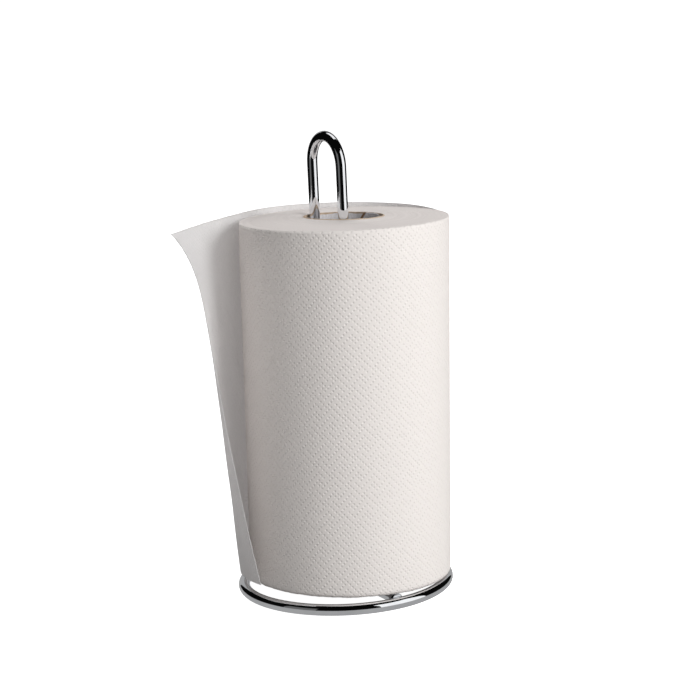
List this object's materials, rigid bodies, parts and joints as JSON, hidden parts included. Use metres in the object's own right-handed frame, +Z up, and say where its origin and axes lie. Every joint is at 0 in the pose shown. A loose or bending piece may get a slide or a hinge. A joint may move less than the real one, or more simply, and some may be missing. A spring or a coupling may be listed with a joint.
{
  "type": "paper towel holder",
  "caption": "Freestanding wire holder: an upright hairpin loop on a ring base carries a paper towel roll that turns and lifts off the top.",
  "frame": {"origin": "centre of the base ring, on the surface it stands on", "axes": "+Z up along the loop's legs; the loop lies in the XZ plane; +Y is the way the roll leans"},
  "size_m": [0.1403, 0.1825, 0.2876],
  "materials": {
    "ring_chrome": "polished",
    "loop_chrome": "polished",
    "weld_chrome": "plated over a rough weld",
    "core_lining": "matte",
    "core_board": "matte",
    "paper": "matte, embossed with small dots",
    "loose_paper": "matte, embossed with small dots"
  },
  "bodies": {
    "stand": {"base_ring": "ring_chrome", "upright_loop": "loop_chrome", "weld_beads": "weld_chrome"},
    "core": {"core_inner_ply": "core_lining"},
    "roll": {"core_outer_ply": "core_board", "wound_paper": "paper", "loose_sheet": "loose_paper"}
  },
  "joints": [
    {"name": "roll_lift", "type": "slide", "parent": "stand", "child": "core", "axis": [0, 0, 1], "range_m": [0, 0.285]},
    {"name": "roll_spin", "type": "hinge", "parent": "core", "child": "roll", "pos_m": [0, 0.0036, 0.0093], "axis": [0, 0.031, 0.9995], "continuous": true}
  ]
}
